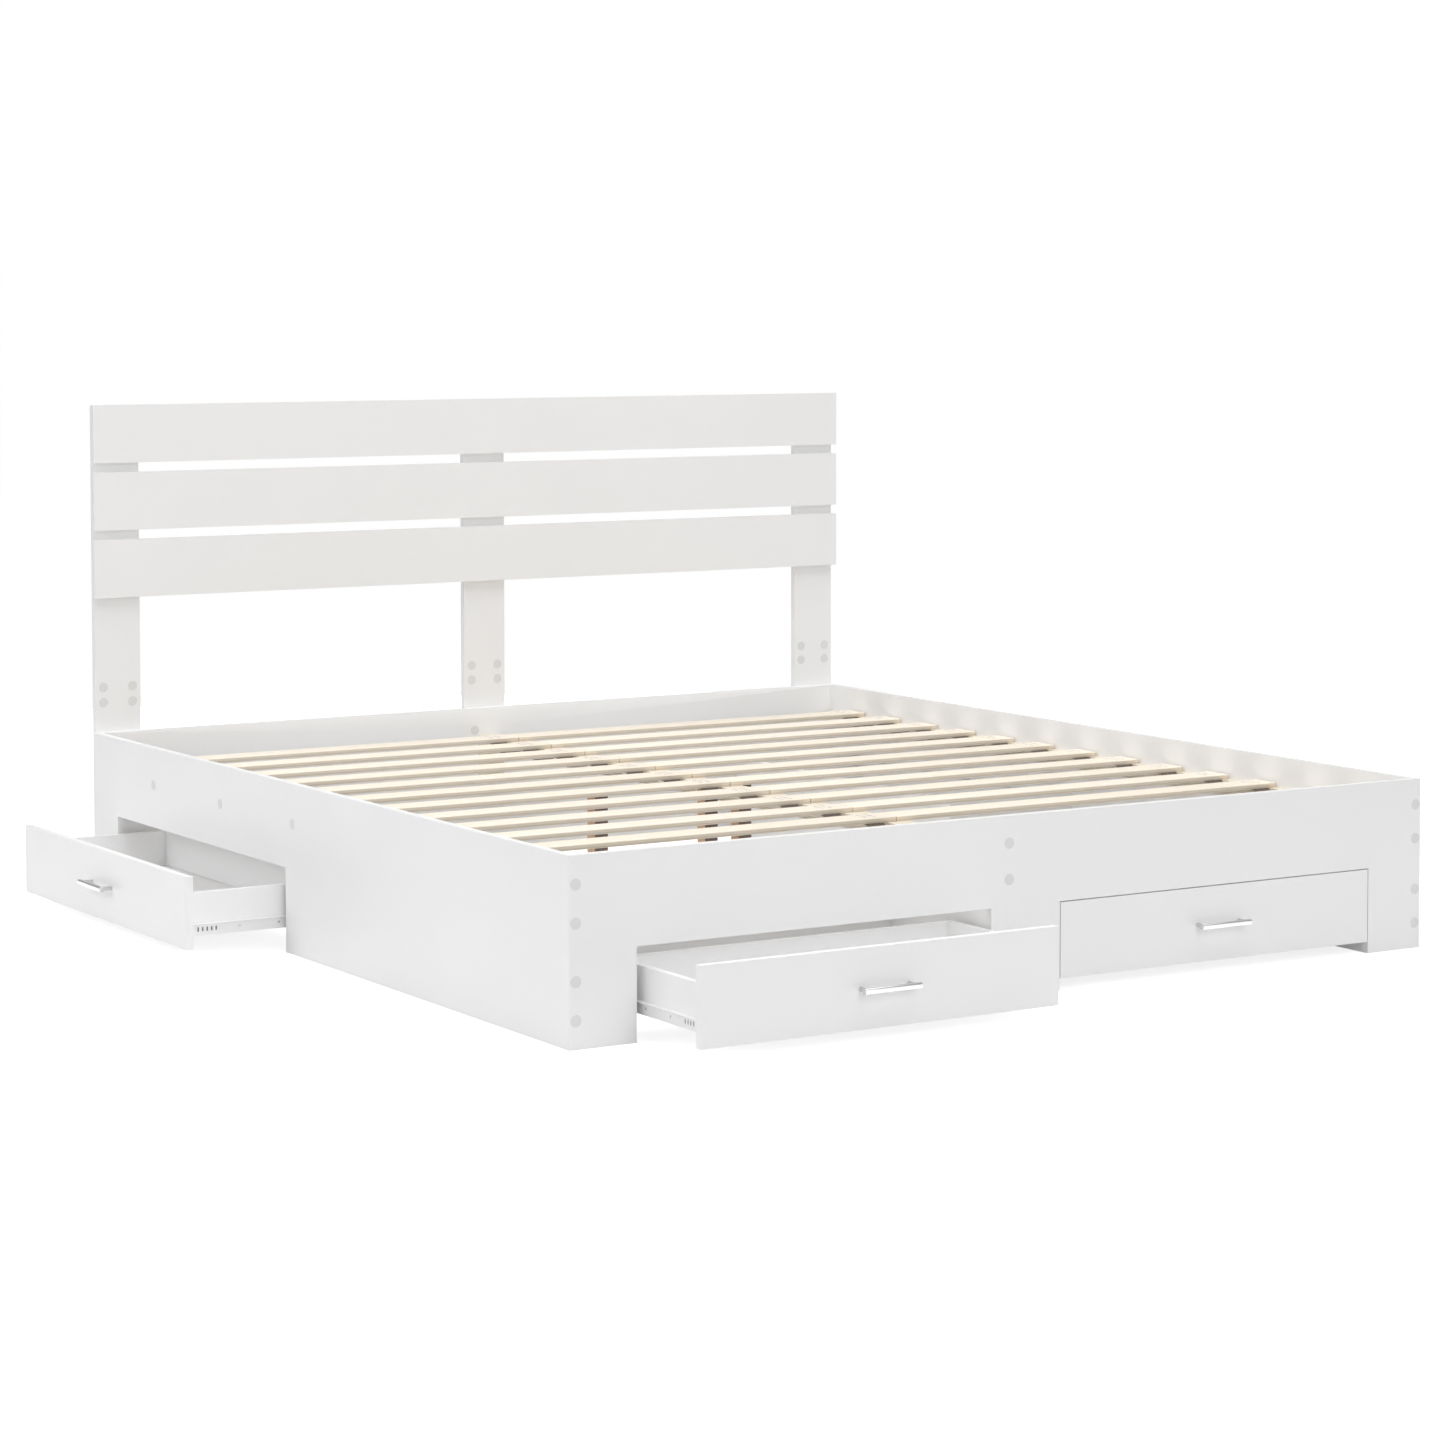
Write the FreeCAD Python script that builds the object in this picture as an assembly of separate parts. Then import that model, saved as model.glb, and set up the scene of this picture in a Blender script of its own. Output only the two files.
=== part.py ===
import FreeCAD, Part
import os

# A platform bed for a 1800 x 2000 mattress: white boards, slatted base, four storage drawers, planked headboard.
# Millimetres. +X to the right seen from the foot, +Y from foot to head, +Z up.
# The origin is on the floor, under the middle of the foot panel's centre leg.

# Whole bed
mattress_width = 1800.0
mattress_length = 2000.0
frame_height = 320.0
headboard_height = 1000.0
board = 15.0

# Foot panel and side panels: cut-outs from the floor up
opening_height = 160.0
foot_edge_leg = 127.0
foot_centre_leg = 148.0
side_head_leg = 112.0
side_opening_width = 813.0

# Headboard
plank_height = 120.0
plank_gap = 20.0
plank_count = 3
post_width = 100.0
post_inset = 5.0
post_top_drop = 5.0

# Slatted base
slat_count = 13
slat_width = 60.0
slat_thickness = 10.0
slat_top = 270.0
slat_margin = 91.0
slat_end_gap = 5.0
slat_joint_x = -4.0
slat_joint_gap = 1.5
strap_width = 38.0
strap_thickness = 1.5
outer_strap_inset = 18.0
inner_strap_inset = 29.0
rail_width = 20.0
rail_height = 30.0
rail_end_gap = 10.0
beam_width = 48.0
beam_height = 27.0
shoe_height = 60.0
cleat_width = 24.0
cleat_height = 100.0
cleat_top = 290.0
leg_size = 30.0
outer_leg_x = 288.0

# Boards that carry the drawer runners
runner_board_length = 300.0
runner_board_height = 180.0

# Drawers
front_gap = 2.0
front_floor_gap = 22.0
drawer_board = 12.0
drawer_inner_depth = 280.0
drawer_side_base = 46.0
drawer_side_height = 80.0
runner_space = 12.5
bottom_thickness = 3.0
groove_depth = 5.0
groove_lift = 6.0
groove_fit = 0.2
foot_left_open = 200.0
left_open = 200.0
foot_right_open = 0.0
right_open = 0.0

# Bar handle
handle_length = 112.0
handle_spacing = 96.0
handle_bar = 10.0
handle_reach = 28.0
handle_foot_radius = 4.0
handle_edge = 3.0
handle_screw_radius = 2.0
handle_screw_depth = 8.0

# Roller runners
steel = 1.0
runner_flange_height = 22.0
lip_clearance = 2.0
runner_end_gap = 2.0
frame_runner_drop = 6.0
frame_runner_rise = 6.0
frame_runner_length = 283.0
channel_mouth = 2.0
roller_radius = 9.0
roller_side_clearance = 1.35
roller_inset = 12.0
track_clearance = 0.3
pin_radius = 2.5
running_fit = 0.1
pin_end_clearance = 0.75
pin_head_radius = 4.0
pin_head_thickness = 0.4
slot_count = 5
slot_pitch = 9.0
slot_size = 3.0
slot_height = 8.0
slot_start = 12.0

# Screws and their caps
cap_radius = 10.0
cap_thickness = 0.6
cap_edge_inset = 12.5
edge_screw_heights = (48.0, 112.0, 208.0, 272.0)
cleat_screw_heights = (208.0, 272.0)
screw_head_radius = 5.0
screw_head_height = 3.0
screw_radius = 3.0
screw_clearance = 0.1
edge_screw_bite = 35.0
cleat_screw_bite = 18.0
rail_screw_bite = 12.0
rail_screw_start = 300.0
rail_screw_pitch = 328.0
rail_screw_count = 3
post_hole_spread = 32.0
post_hole_heights = (381.5, 413.5)
post_hole_radius = 4.0
post_hole_depth = 10.0
head_screw_height = 272.0
head_screw_bite = 11.0
small_head_radius = 4.5
small_head_height = 2.5
small_screw_radius = 2.0
small_screw_bite = 10.0
plank_screw_spread = 35.0
low_post_screw_heights = (60.0, 200.0)

# Places worked out from the sizes above
inner_x = mattress_width / 2
outer_x = inner_x + board
foot_front = -board / 2
foot_back = board / 2
head_front = foot_back + mattress_length
head_back = head_front + board
post_back = head_back + board
slat_base = slat_top - slat_thickness
rail_base = slat_base - rail_height
beam_base = slat_base - beam_height
foot_opening_width = (2 * outer_x - 2 * foot_edge_leg - foot_centre_leg) / 2
foot_opening_x = foot_centre_leg / 2 + foot_opening_width / 2
side_opening_y = head_front - side_head_leg - side_opening_width / 2
slat_pitch = (mattress_length - 2 * slat_margin - slat_width) / (slat_count - 1)
cleat_x = -beam_width / 2 - cleat_width / 2
runner_lip = runner_space - 2 * steel - lip_clearance
roller_width = runner_space - 2 * steel - 2 * roller_side_clearance


def block(x0, x1, y0, y1, z0, z1):
    return Part.makeBox(x1 - x0, y1 - y0, z1 - z0, FreeCAD.Vector(x0, y0, z0))


def rod(radius, x, y, z, direction, length):
    # A round bar that starts at x, y, z and runs along direction.
    return Part.makeCylinder(radius, length, FreeCAD.Vector(x, y, z), FreeCAD.Vector(*direction))


def profile(points, y0, y1):
    # A closed outline in X and Z, drawn out along Y.
    corners = [FreeCAD.Vector(x, y0, z) for x, z in points]
    face = Part.Face(Part.makePolygon(corners + corners[:1]))
    return face.extrude(FreeCAD.Vector(0, y1 - y0, 0))


def screw_at(x, y, z, direction, length, head_radius, head_height, shank_radius):
    # A screw whose head is flush with the face at x, y, z and whose shank points along direction.
    head = rod(head_radius, x, y, z, direction, head_height)
    return head.fuse(rod(shank_radius, x, y, z, direction, length)).removeSplitter()


def screw_hole(x, y, z, direction, length, head_radius, head_height, shank_radius):
    return screw_at(x, y, z, direction, length + screw_clearance, head_radius + screw_clearance, head_height,
                    shank_radius + screw_clearance)


def cut_all(shape, cutters):
    return shape.cut(Part.makeCompound(cutters)) if cutters else shape


# Where each screw sits: face point, direction, length, kind of screw.
big = (screw_head_radius, screw_head_height, screw_radius)
small = (small_head_radius, small_head_height, small_screw_radius)


def edge_screws():
    return [((side * (inner_x + board / 2), foot_front, z), (0, 1, 0), board + edge_screw_bite)
            for side in (-1, 1) for z in edge_screw_heights]


def cleat_screws():
    return [((cleat_x, foot_front, z), (0, 1, 0), board + cleat_screw_bite) for z in cleat_screw_heights]


def rail_screws(side):
    ys = [head_front - rail_screw_start - i * rail_screw_pitch for i in range(rail_screw_count)]
    return [((side * outer_x, y, rail_base + rail_height / 2), (-side, 0, 0), board + rail_screw_bite) for y in ys]


def head_screw():
    return ((-post_hole_spread, head_front, head_screw_height), (0, 1, 0), board + head_screw_bite)


def plank_base(row):
    return headboard_height - (row + 1) * plank_height - row * plank_gap


def post_x(side):
    return side * (outer_x - post_inset - post_width / 2)


def post_screws(side):
    heights = list(low_post_screw_heights)
    for row in range(plank_count):
        middle = plank_base(row) + plank_height / 2
        heights += [middle - plank_screw_spread, middle + plank_screw_spread]
    return [((post_x(side), post_back, z), (0, -1, 0), board + small_screw_bite) for z in heights]


def holes(places, kind):
    return [screw_hole(*point, way, length, *kind) for point, way, length in places]


def screws(places, kind):
    return [screw_at(*point, way, length, *kind) for point, way, length in places]


def make_panels(nodes):
    foot = block(-outer_x, outer_x, foot_front, foot_back, 0, frame_height)
    half = foot_opening_width / 2
    cutters = [block(x - half, x + half, foot_front - 1, foot_back + 1, -1, opening_height)
               for x in (-foot_opening_x, foot_opening_x)]
    nodes["foot_panel"] = [cut_all(foot, cutters + holes(edge_screws() + cleat_screws(), big))]

    half = side_opening_width / 2
    for side, name in ((-1, "left_side_panel"), (1, "right_side_panel")):
        low, high = sorted((side * inner_x, side * outer_x))
        panel = block(low, high, foot_back, head_front, 0, frame_height)
        opening = block(low - 1, high + 1, side_opening_y - half, side_opening_y + half, -1, opening_height)
        nodes[name] = [cut_all(panel, [opening] + holes(edge_screws() + rail_screws(side), big))]

    head = block(-outer_x, outer_x, head_front, head_back, 0, frame_height)
    back_holes = [hole for side in (-1, 0, 1) for hole in holes(post_screws(side), small)]
    nodes["head_panel"] = [cut_all(head, back_holes + holes([head_screw()], big))]


def make_headboard(nodes):
    back_holes = [hole for side in (-1, 0, 1) for hole in holes(post_screws(side), small)]
    for row, name in enumerate(("top_plank", "middle_plank", "bottom_plank")):
        base = plank_base(row)
        plank = block(-outer_x, outer_x, head_front, head_back, base, base + plank_height)
        nodes[name] = [cut_all(plank, back_holes)]
    for side, name in ((-1, "left_post"), (0, "centre_post"), (1, "right_post")):
        x = post_x(side)
        post = block(x - post_width / 2, x + post_width / 2, head_back, post_back, 0,
                     headboard_height - post_top_drop)
        cutters = holes(post_screws(side), small)
        for dx in (-post_hole_spread, post_hole_spread):
            for z in post_hole_heights:
                cutters.append(rod(post_hole_radius, x + dx, head_back, z, (0, 1, 0), post_hole_depth))
        if side == 0:
            cutters += holes([head_screw()], big)
        nodes[name] = [cut_all(post, cutters)]


def make_slats(nodes):
    starts = [foot_back + slat_margin + i * slat_pitch for i in range(slat_count)]
    outer = inner_x - slat_end_gap
    half_joint = slat_joint_gap / 2
    spans = {"left_slats": (-outer, slat_joint_x - half_joint), "right_slats": (slat_joint_x + half_joint, outer)}
    for name, (x0, x1) in spans.items():
        nodes[name] = [block(x0, x1, y, y + slat_width, slat_base, slat_top) for y in starts]

    strap_starts = (-outer + outer_strap_inset,
                    slat_joint_x - inner_strap_inset - strap_width,
                    outer - outer_strap_inset - strap_width)
    first = starts[0]
    last = starts[-1] + slat_width
    nodes["slat_straps"] = [block(x, x + strap_width, first, last, slat_base - strap_thickness, slat_base)
                            for x in strap_starts]


def make_supports(nodes):
    # The outer straps run beside the rails, so the rails are no wider than the straps leave.
    rails = []
    for side in (-1, 1):
        low, high = sorted((side * inner_x, side * (inner_x - rail_width)))
        rail = block(low, high, foot_back + rail_end_gap, head_front - rail_end_gap, rail_base, slat_base)
        rails.append(cut_all(rail, holes(rail_screws(side), big)))
    nodes["slat_rails"] = rails

    half = beam_width / 2
    nodes["centre_beam"] = [block(-half, half, foot_back, head_front, beam_base, slat_base)]
    shoes = [block(-half, half, y, y + leg_size, beam_base - shoe_height, beam_base)
             for y in (foot_back, head_front - leg_size)]
    nodes["beam_shoes"] = shoes
    cleat = block(cleat_x - cleat_width / 2, cleat_x + cleat_width / 2, foot_back, foot_back + leg_size,
                  cleat_top - cleat_height, cleat_top)
    nodes["beam_cleat"] = [cut_all(cleat, holes(cleat_screws(), big))]

    # Legs stand under the middle slat: two against the beam's sides and one further out on the left.
    middle = foot_back + mattress_length / 2
    inner_leg_x = half + leg_size / 2
    legs = []
    for x in (-outer_leg_x, -inner_leg_x, inner_leg_x):
        top = slat_base - (strap_thickness if x == -inner_leg_x else 0)
        legs.append(block(x - leg_size / 2, x + leg_size / 2, middle - leg_size / 2, middle + leg_size / 2, 0, top))
    nodes["support_legs"] = legs


class Bay:
    # One drawer's place: where its cut-out is, which way it faces, how far it stands open.
    def __init__(self, name, width, x, y, turn, opened):
        self.name = name
        self.width = width
        self.x = x
        self.y = y
        self.turn = turn
        self.opened = opened

    def place(self, shape, opened=0.0):
        # Bay coordinates: X across the cut-out, Y from the panel's outer face inwards, Z up.
        shape = shape.copy()
        shape.translate(FreeCAD.Vector(0, -opened, 0))
        shape.rotate(FreeCAD.Vector(0, 0, 0), FreeCAD.Vector(0, 0, 1), self.turn)
        shape.translate(FreeCAD.Vector(self.x, self.y, 0))
        return shape


bays = [
    Bay("foot_left", foot_opening_width, -foot_opening_x, foot_front, 0, foot_left_open),
    Bay("foot_right", foot_opening_width, foot_opening_x, foot_front, 0, foot_right_open),
    Bay("left", side_opening_width, -outer_x, side_opening_y, -90, left_open),
    Bay("right", side_opening_width, outer_x, side_opening_y, 90, right_open),
]


def make_runner_boards(nodes):
    back = board + runner_board_length
    boards = {"foot": [], "left": [], "right": []}
    for bay in bays:
        group = bay.name.split("_")[0]
        for side in (-1, 1):
            low, high = sorted((side * bay.width / 2, side * (bay.width / 2 + board)))
            boards[group].append(bay.place(block(low, high, board, back, 0, runner_board_height)))
    for group, solids in boards.items():
        nodes[group + "_runner_boards"] = solids

    outer = outer_x - foot_edge_leg + board
    y = foot_front + back
    nodes["foot_back_board"] = [block(-outer, outer, y, y + board, 0, runner_board_height)]
    for bay in bays[2:]:
        half = bay.width / 2 + board
        nodes[bay.name + "_back_board"] = [bay.place(block(-half, half, back, back + board, 0, runner_board_height))]


# Drawer heights and depths
front_top = opening_height - front_gap
front_middle = (front_floor_gap + front_top) / 2
side_top = drawer_side_base + drawer_side_height
bottom_base = drawer_side_base + groove_lift
drawer_back = board + drawer_inner_depth + drawer_board
lip_top = drawer_side_base + runner_flange_height
frame_runner_base = drawer_side_base - frame_runner_drop
frame_runner_top = lip_top + frame_runner_rise
frame_roller_y = board + runner_end_gap + roller_inset
drawer_roller_y = drawer_back - roller_inset
frame_roller_z = lip_top - steel - track_clearance - roller_radius
drawer_roller_z = frame_runner_base + steel + track_clearance + roller_radius


def drawer_wood(bay):
    half = bay.width / 2
    box_half = half - runner_space
    front = block(-half + front_gap, half - front_gap, 0, board, front_floor_gap, front_top)
    groove = block(-box_half + drawer_board - groove_depth, box_half - drawer_board + groove_depth,
                   board - groove_depth, drawer_back, bottom_base, bottom_base + bottom_thickness + groove_fit)
    sides = []
    for side in (-1, 1):
        low, high = sorted((side * box_half, side * (box_half - drawer_board)))
        sides.append(block(low, high, board, drawer_back, drawer_side_base, side_top).cut(groove))
    inner = box_half - drawer_board
    back = block(-inner, inner, drawer_back - drawer_board, drawer_back,
                 bottom_base + bottom_thickness + groove_fit, side_top)
    bottom = block(-inner - groove_depth + groove_fit, inner + groove_depth - groove_fit,
                   board - groove_depth + groove_fit, drawer_back, bottom_base, bottom_base + bottom_thickness)
    return front.cut(groove), sides + [back], bottom


def handle_parts(bay):
    low = front_middle - handle_bar / 2
    bar = block(-handle_length / 2, handle_length / 2, -handle_reach, -handle_reach + handle_bar, low,
                low + handle_bar)
    long_edges = [edge for edge in bar.Edges if abs(edge.Length - handle_length) < 0.01]
    bar = bar.makeFillet(handle_edge, long_edges)
    screw_list = []
    screw_holes = []
    for x in (-handle_spacing / 2, handle_spacing / 2):
        foot_length = handle_reach - handle_bar / 2
        foot = rod(handle_foot_radius, x, 0, front_middle, (0, -1, 0), foot_length)
        place = (x, board + small_head_height, front_middle, (0, -1, 0))
        length = board + small_head_height + handle_screw_depth
        bar = bar.fuse(foot)
        bar = bar.cut(rod(handle_screw_radius + screw_clearance, x, 0, front_middle, (0, -1, 0),
                          handle_screw_depth + screw_clearance))
        screw_list.append(screw_at(*place, length, small_head_radius, small_head_height, handle_screw_radius))
        screw_holes.append(rod(handle_screw_radius + screw_clearance, x, 0, front_middle, (0, 1, 0), board))
    return [bar.removeSplitter()] + screw_list, screw_holes


def drawer_runner(bay, side):
    # A bent strip: a flange under the drawer side, an upright outside it and a lip that runs on the frame's roller.
    face = bay.width / 2 - runner_space
    points = [(face - drawer_board, drawer_side_base - steel), (face + steel, drawer_side_base - steel),
              (face + steel, lip_top - steel), (face + steel + runner_lip, lip_top - steel),
              (face + steel + runner_lip, lip_top), (face, lip_top), (face, drawer_side_base),
              (face - drawer_board, drawer_side_base)]
    strip = profile([(side * x, z) for x, z in points], board + runner_end_gap / 2, drawer_back)
    middle = drawer_side_base + runner_flange_height / 2
    low, high = sorted((side * (face - 1), side * (face + steel + 1)))
    slots = [block(low, high, y, y + slot_size, middle - slot_height / 2, middle + slot_height / 2)
             for y in [board + slot_start + i * slot_pitch for i in range(slot_count)]]
    reach = runner_space - 2 * steel - pin_end_clearance
    pin = roller_pin(side * (face + steel), side, reach, drawer_roller_y, drawer_roller_z)
    return cut_all(strip, slots).fuse(pin).removeSplitter()


def frame_runner(bay, side):
    # A channel on the runner board, open towards the drawer, with a roller pin at its front.
    back = bay.width / 2
    face = back - runner_space
    edge = face + steel + channel_mouth
    points = [(back, frame_runner_base), (back, frame_runner_top), (edge, frame_runner_top),
              (edge, frame_runner_top - steel), (back - steel, frame_runner_top - steel),
              (back - steel, frame_runner_base + steel), (edge, frame_runner_base + steel),
              (edge, frame_runner_base)]
    start = board + runner_end_gap
    strip = profile([(side * x, z) for x, z in points], start, start + frame_runner_length)
    reach = runner_space - 2 * steel - pin_end_clearance
    pin = roller_pin(side * (back - steel), -side, reach, frame_roller_y, frame_roller_z)
    return strip.fuse(pin).removeSplitter()


def roller_pin(x, way, reach, y, z):
    # The pin's head keeps the roller on.
    pin = rod(pin_radius, x, y, z, (way, 0, 0), reach)
    head = rod(pin_head_radius, x + way * (reach - pin_head_thickness), y, z, (way, 0, 0), pin_head_thickness)
    return pin.fuse(head)


def rollers(bay, y, z):
    solids = []
    middle = bay.width / 2 - runner_space / 2
    for side in (-1, 1):
        x = side * middle - roller_width / 2
        wheel = rod(roller_radius, x, y, z, (1, 0, 0), roller_width)
        solids.append(wheel.cut(rod(pin_radius + running_fit, x - 1, y, z, (1, 0, 0), roller_width + 2)))
    return solids


def make_drawer(bay, nodes):
    front, box, bottom = drawer_wood(bay)
    handle, screw_holes = handle_parts(bay)
    moving = {
        "front": [cut_all(front, screw_holes)],
        "box": box,
        "bottom": [bottom],
        "handle": handle,
        "drawer_runners": [drawer_runner(bay, side) for side in (-1, 1)],
        "drawer_rollers": rollers(bay, drawer_roller_y, drawer_roller_z),
    }
    fixed = {
        "frame_runners": [frame_runner(bay, side) for side in (-1, 1)],
        "frame_rollers": rollers(bay, frame_roller_y, frame_roller_z),
    }
    for part, solids in moving.items():
        nodes[bay.name + "_" + part] = [bay.place(solid, bay.opened) for solid in solids]
    for part, solids in fixed.items():
        nodes[bay.name + "_" + part] = [bay.place(solid) for solid in solids]


def make_fasteners(nodes):
    big_screws = edge_screws() + cleat_screws() + rail_screws(-1) + rail_screws(1) + [head_screw()]
    nodes["frame_screws"] = screws(big_screws, big)
    nodes["post_screws"] = [screw for side in (-1, 0, 1) for screw in screws(post_screws(side), small)]

    caps = []
    for side in (-1, 1):
        x = side * (outer_x - cap_edge_inset)
        caps += [rod(cap_radius, x, foot_front, z, (0, -1, 0), cap_thickness) for z in edge_screw_heights]
        caps += [rod(cap_radius, *point, (side, 0, 0), cap_thickness) for point, _, _ in rail_screws(side)]
    caps += [rod(cap_radius, *point, (0, -1, 0), cap_thickness) for point, _, _ in cleat_screws() + [head_screw()]]
    for side in (-1, 0, 1):
        for dx in (-post_hole_spread, post_hole_spread):
            caps += [rod(cap_radius, post_x(side) + dx, head_back, z, (0, -1, 0), cap_thickness)
                     for z in post_hole_heights]
    nodes["screw_caps"] = caps


def build():
    nodes = {}
    make_panels(nodes)
    make_headboard(nodes)
    make_slats(nodes)
    make_supports(nodes)
    make_runner_boards(nodes)
    for bay in bays:
        make_drawer(bay, nodes)
    make_fasteners(nodes)
    return nodes


os.makedirs("parts", exist_ok=True)
for node, solids in build().items():
    shape = solids[0] if len(solids) == 1 else Part.makeCompound(solids)
    shape.exportStep("parts/" + node + ".step")
    volumes = sum(solid.Volume for solid in solids)
    print(node, len(solids), "solids", round(volumes / 1000), "cm3", shape.isValid())
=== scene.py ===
import math
import random

import bmesh
import bpy
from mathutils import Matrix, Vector


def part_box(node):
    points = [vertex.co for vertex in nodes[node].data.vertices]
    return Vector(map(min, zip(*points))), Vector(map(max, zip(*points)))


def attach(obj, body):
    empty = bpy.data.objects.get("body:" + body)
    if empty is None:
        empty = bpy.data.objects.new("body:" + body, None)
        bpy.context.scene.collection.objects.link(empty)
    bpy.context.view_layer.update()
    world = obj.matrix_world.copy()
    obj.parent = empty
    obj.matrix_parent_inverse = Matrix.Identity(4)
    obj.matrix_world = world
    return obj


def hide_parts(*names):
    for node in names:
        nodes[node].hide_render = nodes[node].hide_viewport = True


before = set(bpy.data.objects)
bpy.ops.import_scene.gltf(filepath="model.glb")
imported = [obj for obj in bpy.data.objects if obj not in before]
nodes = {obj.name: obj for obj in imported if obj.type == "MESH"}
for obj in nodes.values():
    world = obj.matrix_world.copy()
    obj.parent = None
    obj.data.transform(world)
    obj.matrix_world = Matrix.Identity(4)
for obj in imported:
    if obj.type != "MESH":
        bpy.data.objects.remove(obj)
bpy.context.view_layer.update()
bays = ("foot_left", "foot_right", "left", "right")
mm = 0.001
print("frame loaded,", len(nodes), "pieces")


# Helpers that add and join material nodes

def addNode(tree, kind, sockets=None, **settings):
    node = tree.nodes.new(kind)
    for key, value in settings.items():
        setattr(node, key, value)
    for key, value in (sockets or {}).items():
        if hasattr(value, "is_output"):
            tree.links.new(value, node.inputs[key])
        else:
            node.inputs[key].default_value = value
    return node


def startFinish(name, colour, roughness, metallic=0.0):
    finish = bpy.data.materials.new(name)
    finish.use_nodes = True
    finish.diffuse_color = (*colour, 1.0)
    tree = finish.node_tree
    shader = tree.nodes["Principled BSDF"]
    shader.inputs["Base Color"].default_value = (*colour, 1.0)
    shader.inputs["Roughness"].default_value = roughness
    shader.inputs["Metallic"].default_value = metallic
    return finish, tree, shader


def stretched(tree, scale, turn=(0.0, 0.0, 0.0)):
    # The piece's own coordinates in metres, scaled along each axis.
    coordinates = addNode(tree, "ShaderNodeTexCoord")
    mapping = addNode(tree, "ShaderNodeMapping",
                      {"Vector": coordinates.outputs["Object"], "Scale": scale, "Rotation": turn})
    return mapping.outputs["Vector"]


def noise(tree, points, scale, detail=3.0, roughness=0.5, distortion=0.0):
    made = addNode(tree, "ShaderNodeTexNoise",
                   {"Vector": points, "Scale": scale, "Detail": detail, "Roughness": roughness,
                    "Distortion": distortion})
    return made.outputs["Fac"]


def between(tree, amount, low, high, start=0.3, end=0.7):
    # Maps a texture's value onto a range.
    made = addNode(tree, "ShaderNodeMapRange",
                   {"Value": amount, "From Min": start, "From Max": end, "To Min": low, "To Max": high})
    return made.outputs["Result"]


def tints(tree, amount, stops):
    ramp = addNode(tree, "ShaderNodeValToRGB", {"Fac": amount})
    band = ramp.color_ramp
    while len(band.elements) < len(stops):
        band.elements.new(0.5)
    for element, (place, colour) in zip(band.elements, stops):
        element.position = place
        element.color = (*colour, 1.0)
    return ramp.outputs["Color"]


def mixed(tree, amount, first, second, blend="MIX"):
    made = addNode(tree, "ShaderNodeMix", data_type="RGBA", blend_type=blend)
    for socket, value in ((made.inputs[0], amount), (made.inputs[6], first), (made.inputs[7], second)):
        if hasattr(value, "is_output"):
            tree.links.new(value, socket)
        else:
            socket.default_value = value
    return made.outputs[2]


def maths(tree, operation, first, second=0.0):
    made = addNode(tree, "ShaderNodeMath", operation=operation)
    for socket, value in ((made.inputs[0], first), (made.inputs[1], second)):
        if hasattr(value, "is_output"):
            tree.links.new(value, socket)
        else:
            socket.default_value = value
    return made.outputs["Value"]


def relief(tree, shader, height, strength, depth):
    bump = addNode(tree, "ShaderNodeBump", {"Height": height, "Strength": strength, "Distance": depth})
    tree.links.new(bump.outputs["Normal"], shader.inputs["Normal"])


# Camera, floor and light

cameraSetup = {
    "place": (-3.86694, -5.33221, 1.23232),
    "turnRight": 0.56351,      # radians away from looking along the bed
    "tiltDown": 0.05644,
    "lens": 93.985,
    "shift": (-0.04232, -0.15),
}


def makeCamera(setup):
    lens = bpy.data.cameras.new("bedCamera")
    lens.lens = setup["lens"]
    lens.sensor_width = 36.0
    lens.shift_x, lens.shift_y = setup["shift"]
    lens.clip_start = 0.1
    lens.clip_end = 200.0
    camera = bpy.data.objects.new("bedCamera", lens)
    bpy.context.scene.collection.objects.link(camera)
    camera.location = setup["place"]
    camera.rotation_euler = (math.pi / 2 - setup["tiltDown"], 0.0, -setup["turnRight"])
    bpy.context.scene.camera = camera


studio = {
    "floorMiddle": (0.0, 1.0),
    "floorRadius": 4.2,
    "floorSides": 96,
    "floorColour": (0.97, 0.97, 0.97),
    "bounceColour": (0.62, 0.62, 0.62),
    "floorGlow": (0.66, 0.90),     # near the bed and at the floor's rim
    "bounceGlow": 0.07,            # the lower sheet's own glow
    "glowReach": (1.7, 4.0),
    "backdropRadius": 45.0,
    "surround": 0.38,
    "lamps": {                 # place, aimed at, size and watts
        "ceilingLamp": ((0.2, 0.4, 5.5), (0.1, 0.9, 0.3), 6.0, 238.0),
        "leftLamp": ((-8.5, 2.2, 4.6), (0.0, 1.2, 0.3), 5.0, 214.0),
        "footLamp": ((-1.6, -8.5, 4.2), (0.0, 0.9, 0.4), 5.0, 206.0),
    },
}


def paleFinish(name, colour, glow):
    finish = bpy.data.materials.new(name)
    finish.use_nodes = True
    shader = finish.node_tree.nodes["Principled BSDF"]
    shader.inputs["Base Color"].default_value = (*colour, 1.0)
    shader.inputs["Roughness"].default_value = 0.9
    shader.inputs["Specular IOR Level"].default_value = 0.1
    shader.inputs["Emission Color"].default_value = (1.0, 1.0, 1.0, 1.0)
    shader.inputs["Emission Strength"].default_value = glow
    return finish


def stagePiece(name, mesh, finish):
    data = bpy.data.meshes.new(name)
    mesh.to_mesh(data)
    mesh.free()
    data.materials.append(finish)
    piece = bpy.data.objects.new(name, data)
    bpy.context.scene.collection.objects.link(piece)
    return piece


def floorSheet(setup, height):
    middleX, middleY = setup["floorMiddle"]
    radius, sides = setup["floorRadius"], setup["floorSides"]
    sheet = bmesh.new()
    corners = []
    for i in range(sides):
        turn = math.tau * i / sides
        place = (middleX + radius * math.cos(turn), middleY + radius * math.sin(turn), height)
        corners.append(sheet.verts.new(place))
    sheet.faces.new(corners)
    return sheet


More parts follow.
